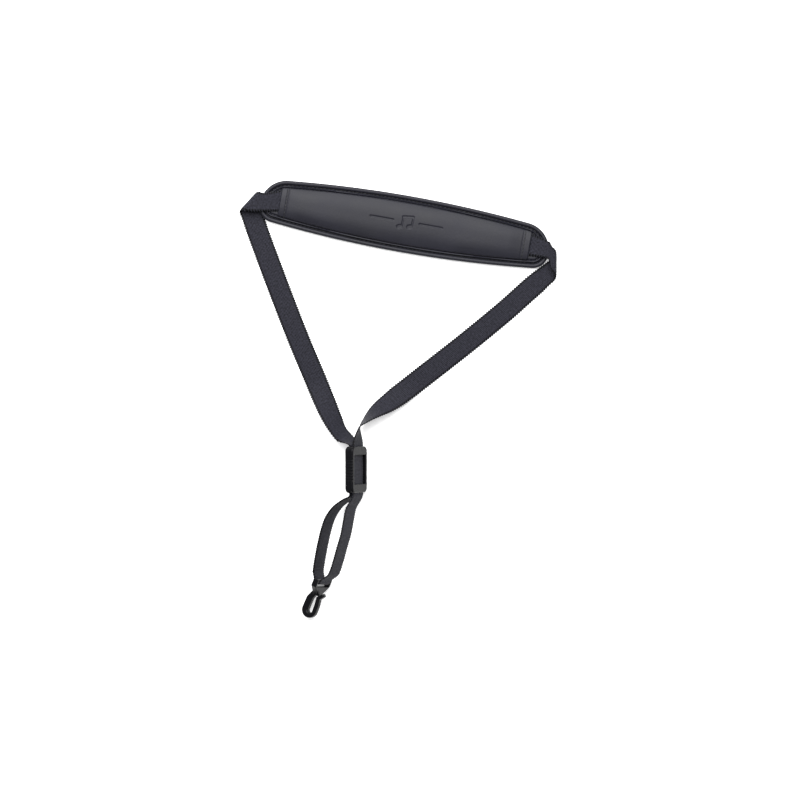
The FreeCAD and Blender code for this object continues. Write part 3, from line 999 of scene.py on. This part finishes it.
@dataclass
class Webbing:
    """One long strap: through the sleeve, folded under both ends of the pad, to the hook."""

    half: float = 10.0
    thick: float = 1.4
    rest: float = 0.75
    offset: float = 1.0
    mouth: float = 112.5
    mouth_height: float = 7.8
    fold_top: float = 7.9
    roll: float = 62.0
    slider: tuple[float, float, float] = (-4.7, -221.7, 13.798)
    slider_yaw: float = 10.0
    slider_half: float = 20.5
    strand: float = 1.5
    hook_bar: tuple[float, float, float] = (-16.9, -324.0, 13.287)
    hook_yaw: float = 2.0
    bight: float = 2.7
    tooth_pitch: float = 2.2
    tooth_share: float = 0.055
    step: float = 0.44
    roll_start: float = 0.7
    roll_ease: float = 1.3
    straight: float = 1.1

    def across(self, yaw: float) -> Array:
        """Turns the axes of a piece that lies nearly on edge.

        Args:
            yaw: its turn about the upright, degrees.

        Returns:
            The axes, as columns.
        """
        turn = Matrix.Rotation(math.radians(yaw), 3, "Z")
        turn = turn @ Matrix.Rotation(math.radians(self.roll), 3, "Y")
        return np.array(turn)

    def in_slider(self, strand: int, along: float) -> Array:
        """Finds a strand's middle in the slider.

        Args:
            strand: 1 in front of the slider's bar or -1 behind.
            along: share of the slider's half-length, down towards the hook.

        Returns:
            The place.
        """
        axes = self.across(self.slider_yaw)
        shift = axes[:, 2] * strand * self.strand - axes[:, 1] * along * self.slider_half
        return np.array(self.slider) + shift

    def fold(
        self,
        way: int,
        crease: tuple[float, float],
        headings: tuple[float, float],
        share: float,
        leads: list,
    ) -> list:
        """Stations of the soft fold at one end of the pad.

        Args:
            way: 1 at the right end, -1 at the left.
            crease: the middle of the crease.
            headings: of the webbing as it reaches the crease and as it leaves, degrees.
            share: length of the crease, over the webbing's width.
            leads: where the webbing's two edges pass over the pad's end.

        Returns:
            Stations: centre, half-width and normal.
        """
        radius = (self.fold_top - self.rest) / 2
        ahead, leaving = (level_way(degrees) for degrees in headings)
        outward = unit(ahead - leaving)
        along = np.array([-outward[1], outward[0], 0.0])
        slope = (ahead @ along) / (ahead @ outward)
        spine = np.array([*crease, self.rest + radius]) - outward * radius
        side = along * (self.half * share)
        side = -side if side[1] < 0 else side
        mouth = np.array([way * self.mouth, self.offset, self.mouth_height])
        stations = [(mouth, np.array([0, self.half, 0.0]), UP)]
        for near, far in leads:
            edges = np.array([[*near, self.fold_top], [*far, self.fold_top]])
            stations.append((edges.mean(0), (edges[1] - edges[0]) / 2, UP))
        for degrees in range(0, 181, 30):
            turn = math.radians(degrees)
            normal = outward * math.sin(turn) + UP * math.cos(turn)
            shift = along * slope * radius * (turn - math.pi / 2)
            stations.append((spine + shift + normal * radius, side, normal))
        return stations

    def run(self, start: Array, strand: int, bow: list, turned: float) -> list:
        """Stations from a fold to the slider: the strap lies flat, then rolls on edge.

        Args:
            start: where the fold ends.
            strand: 1 in front of the slider's bar or -1 behind.
            bow: points on the way: share of it, and how far off to the right.
            turned: how far the strap has rolled at the slider, degrees.

        Returns:
            Stations: centre, half-width and normal.
        """
        mouth = self.in_slider(strand, -1)
        way = np.array([mouth[0] - start[0], mouth[1] - start[1], 0.0])
        right = unit(np.array([-way[1], way[0], 0.0]))
        spots = [(0.0, start)]
        spots += [(share, start + way * share + right * off) for share, off in bow]
        spots.append((1.0, mouth))
        down = -self.across(self.slider_yaw)[:, 1]
        rise = mouth[2] - self.half * math.sin(math.radians(turned)) - self.rest
        stations = []
        for n, (share, spot) in enumerate(spots[1:], start=1):
            ahead = down if share == 1 else spots[n + 1][1] - spots[n - 1][1]
            part = max(0.0, (share - self.roll_start) / (1 - self.roll_start)) ** self.roll_ease
            turn = math.radians(turned) * part
            level = np.cross(unit(np.array([ahead[0], ahead[1], 0.0])), UP)
            level = level if turned < 90 else -level
            side = level * math.cos(turn) + UP * math.sin(turn)
            height = self.rest + self.half * math.sin(turn) + rise * part
            normal = UP * math.cos(turn) - level * math.sin(turn)
            stations.append((np.array([spot[0], spot[1], height]), -side * self.half, -normal))
        stations.append((self.in_slider(strand, 0), *stations[-1][1:]))
        return stations

    def loop(self, left: list, right: list) -> list:
        """Stations down the back strand, round the hook's bar and up the front strand.

        Args:
            left: points of the back strand: share of the way down, how far off, and lift.
            right: the same of the front strand.

        Returns:
            Stations: centre, half-width and normal.
        """
        hook = np.array(self.hook_bar)
        hook_axes = self.across(self.hook_yaw)
        slider_down = -self.across(self.slider_yaw)[:, 1]
        top = np.array(self.slider) + slider_down * self.slider_half
        axis = hook - top
        out = unit(np.array([-axis[1], axis[0], 0.0]))
        lowest = self.half * math.sin(math.radians(self.roll))
        spots = [(self.in_slider(-1, along), 0.0) for along in (0, 1, self.straight)]
        for strand in (left, None, right[::-1]):
            for share, off, lift in strand or ():
                spot = top + axis * share + out * off
                spots.append((np.array([spot[0], spot[1], lowest + lift]), share))
            for degrees in range(-90, 91, 30) if strand is None else ():
                turn = math.radians(degrees)
                reach = hook_axes[:, 2] * math.sin(turn) - hook_axes[:, 1] * math.cos(turn)
                spots.append((hook + reach * self.bight, 1.0))
        spots += [(self.in_slider(1, along), 0.0) for along in (self.straight, 1, 0)]
        stations = []
        for n, (spot, share) in enumerate(spots):
            before, after = spots[max(n - 1, 0)][0], spots[min(n + 1, len(spots) - 1)][0]
            eased = float(smooth(np.array(share)))
            side = -self.across(self.slider_yaw + (self.hook_yaw - self.slider_yaw) * eased)[:, 0]
            stations.append((spot, side * self.half, unit(np.cross(after - before, side))))
        return stations

    def ribbon(self, name: str, stations: list) -> bpy.types.Object:
        """Weaves webbing smoothly through its stations, with ribs and a serrated selvage.

        Args:
            name: the piece's name.
            stations: centre, half-width and normal of each.

        Returns:
            The piece.
        """
        knots = np.array([np.concatenate(station) for station in stations])
        gaps = np.linalg.norm(np.diff(knots[:, :3], axis=0), axis=1)
        far = np.concatenate([[0], np.cumsum(gaps)])
        rows = max(int(far[-1] / self.step), 8)
        wanted = np.linspace(0, far[-1], rows + 1)
        slopes = steady_slopes(knots, gaps)
        part = np.clip(np.searchsorted(far, wanted, side="right") - 1, 0, len(far) - 2)
        gap = gaps[part][:, None]
        t = ((wanted - far[part]) / gaps[part])[:, None]
        line = (2 * t**3 - 3 * t**2 + 1) * knots[part] + (t**3 - 2 * t**2 + t) * gap * slopes[part]
        line += (3 * t**2 - 2 * t**3) * knots[part + 1] + (t**3 - t**2) * gap * slopes[part + 1]
        spine, side, normal = line[:, :3], line[:, 3:6], line[:, 6:9]
        normal = normal / np.linalg.norm(normal, axis=1, keepdims=True)
        ahead = np.gradient(spine, wanted, axis=0)
        ahead /= np.linalg.norm(ahead, axis=1, keepdims=True)
        skew = np.einsum("ij,ij->i", side, ahead)

        def section(a: Array, b: Array) -> tuple[Array, Array, Array]:
            """Finds where on the webbing the grid's points are.

            Args:
                a: share of the way round the section.
                b: share of the length.

            Returns:
                The row, the share of the half-width, and the length along the threads.
            """
            row = np.rint(b * rows).astype(int)
            share = round_section(a)
            return row, share, wanted[row] + share * skew[row]

        def place(a: Array, b: Array) -> Array:
            """Bends the grid round the webbing.

            Args:
                a: share of the way round the section.
                b: share of the length.

            Returns:
                Points.
            """
            row, share, length = section(a, b)
            wave = np.sin(2 * math.pi * length / self.tooth_pitch)
            wide = 1 + self.tooth_share * (wave - 0.5) * np.abs(share) ** 14
            face = np.where(a < 0.5, 1.0, -1.0) * np.sqrt(np.clip(1 - np.abs(share) ** 10, 0, 1))
            tall = face * (self.thick / 2 - 0.05 + 0.05 * wave)
            return spine[row] + side[row] * (share * wide)[:, None] + normal[row] * tall[:, None]

        def weave(a: Array, b: Array) -> Array:
            """Gives the cloth's own coordinates.

            Args:
                a: share of the way round the section.
                b: share of the length.

            Returns:
                Places across and along.
            """
            _, share, length = section(a, b)
            return np.stack([share * self.half, length], 1)

        return wrapped(name, 28, rows, place, weave)

    def build(self, finish: bpy.types.Material) -> None:
        """Builds every stretch of the webbing.

        Args:
            finish: the webbing's finish.
        """
        mouth = np.array([self.mouth, self.offset, self.mouth_height])
        flip = np.array([-1, 1, 1])
        half = np.array([0, self.half, 0.0])
        under = self.ribbon("webbing_in_sleeve", [(mouth * flip, half, UP), (mouth, half, UP)])
        dress(under, finish)
        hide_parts("webbing_sleeve")
        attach(under, Body.STRAP.value)

        left_fold = self.fold(-1, (-140.2, -4.5), (175.0, -60.0), 1.13, [])
        left_bow = [
            (0.1, -2), (0.2, -3.5), (0.37, -5.7), (0.54, -7.4), (0.7, -8.1), (0.8, -8.5),
            (0.87, -8.3), (0.94, -6.5),
        ]
        left_run = self.run(left_fold[-1][0], -1, left_bow, self.roll)
        right_lead = [((130.5, -9.3), (128.3, 7.0))]
        right_fold = self.fold(1, (138.2, -12.5), (-32.3, -128.7), 1.15, right_lead)
        right_bow = [
            (0.09, -1), (0.22, -1.2), (0.4, -3), (0.65, -7.1), (0.75, -8.9), (0.81, -10.5),
            (0.86, -12.3), (0.91, -12.4), (0.95, -10.8),
        ]
        right_run = self.run(right_fold[-1][0], 1, right_bow, 180 - self.roll)
        for side, stations in (("left", left_fold + left_run), ("right", right_fold + right_run)):
            piece = self.ribbon(f"webbing_{side}_run", stations)
            dress(piece, finish)
            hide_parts(f"webbing_{side}")
            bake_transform(piece)

        back = [
            (0.10, -5.0, 2.8), (0.22, -11.2, 1.7), (0.39, -13.7, 1.1), (0.57, -12.3, 1.1),
            (0.75, -9.8, 1.4), (0.90, -7.2, 2.3),
        ]
        front = [
            (0.20, 0.8, 6.3), (0.42, 4.2, 6.7), (0.60, 5.6, 6.7), (0.75, 6.8, 6.2),
            (0.89, 7.0, 5.3),
        ]
        piece = self.ribbon("webbing_hook_loop", self.loop(back, front))
        dress(piece, finish)
        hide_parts("webbing_loop")
        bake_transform(piece)


# ---------------------------------------------------------------- the mouldings


@dataclass
class Moulding:
    """A moulded part: its machined form, with every edge softened as the tool leaves it."""

    node: str
    name: str
    body: Body
    voxel: float = 0.33
    passes: int = 4

    def build(self, plastic: bpy.types.Material) -> bpy.types.Object:
        """Copies the form, merges it, remeshes it finely and smooths it.

        Args:
            plastic: its finish.

        Returns:
            The piece.
        """
        source = bpy.data.objects[self.node]
        piece = bpy.data.objects.new(self.name, source.data.copy())
        bpy.context.collection.objects.link(piece)
        bpy.ops.object.select_all(action="DESELECT")
        piece.select_set(True)
        bpy.context.view_layer.objects.active = piece
        bpy.ops.object.mode_set(mode="EDIT")
        bpy.ops.mesh.select_all(action="SELECT")
        bpy.ops.mesh.remove_doubles(threshold=1e-6)
        bpy.ops.object.mode_set(mode="OBJECT")
        remesh = piece.modifiers.new("skin", "REMESH")
        remesh.mode = "VOXEL"
        remesh.voxel_size = self.voxel * MM
        soften = piece.modifiers.new("soften", "SMOOTH")
        soften.factor = 0.5
        soften.iterations = self.passes
        for modifier in ("skin", "soften"):
            bpy.ops.object.modifier_apply(modifier=modifier)
        bpy.ops.object.shade_smooth()
        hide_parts(self.node)
        dress(piece, plastic)
        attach(piece, self.body.value)
        return piece


# ---------------------------------------------------------------- the studio


@dataclass
class Studio:
    """A light table, a softbox beyond the pad, a weaker fill, and a camera straight above."""

    target: tuple[float, float, float] = (0.0228, -0.1545, 0.0)
    height: float = 2.37
    turn: float = 10.0
    lens: float = 120.0
    surroundings: float = 0.34

    def light(self, name: str, place: tuple, size: float, power: float) -> None:
        """Adds a square softbox that faces the strap.

        Args:
            name: its name.
            place: where it hangs.
            size: its side, metres.
            power: watts.
        """
        bpy.ops.object.select_all(action="DESELECT")
        bpy.ops.object.light_add(type="AREA", location=place)
        lamp = bpy.context.object
        lamp.name = name
        lamp.data.size = size
        lamp.data.energy = power
        away = Vector(place) - Vector(self.target)
        lamp.rotation_euler = away.to_track_quat("Z", "Y").to_euler()

    def build(self, table: bpy.types.Material) -> None:
        """Sets up the floor, the lights, the surroundings and the camera.

        Args:
            table: the floor's finish.
        """
        bpy.ops.object.select_all(action="DESELECT")
        bpy.ops.mesh.primitive_plane_add(size=6.0, location=(0, 0, 0))
        floor = bpy.context.object
        floor.name = "floor"
        floor.data.materials.append(table)
        up = Matrix.Rotation(math.radians(self.turn), 3, "Z")
        centre = Vector(self.target)
        self.light("key_softbox", centre + up @ Vector((-0.15, 0.95, 1.5)), 1.8, 78.0)
        self.light("fill_softbox", centre + up @ Vector((0.3, -1.2, 1.5)), 1.2, 2.0)
        world = bpy.data.worlds.new("studio")
        world.use_nodes = True
        backdrop = world.node_tree.nodes["Background"]
        backdrop.inputs["Color"].default_value = (1, 1, 1, 1)
        backdrop.inputs["Strength"].default_value = self.surroundings
        bpy.context.scene.world = world
        bpy.context.scene.view_settings.view_transform = "Standard"
        bpy.ops.object.camera_add(
            location=centre + Vector((0, 0, self.height)),
            rotation=(0, 0, math.radians(self.turn)),
        )
        camera = bpy.context.object
        camera.data.lens = self.lens
        camera.data.sensor_width = 36.0
        bpy.context.scene.camera = camera


def main() -> None:
    """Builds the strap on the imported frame."""
    logging.basicConfig(level=logging.INFO, format="%(message)s")
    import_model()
    Studio().build(LightTable().material())
    leather = GrainedLeather().material()
    Pad().build(leather, SewingThread().material())
    Webbing().build(RibbedWebbing().material())
    plastic = MouldedPlastic().material()
    for moulding in (
        Moulding("slider_frame", "slider_moulding", Body.SLIDER),
        Moulding("hook", "hook_moulding", Body.HOOK),
    ):
        moulding.build(plastic)


if __name__ == "__main__":
    main()
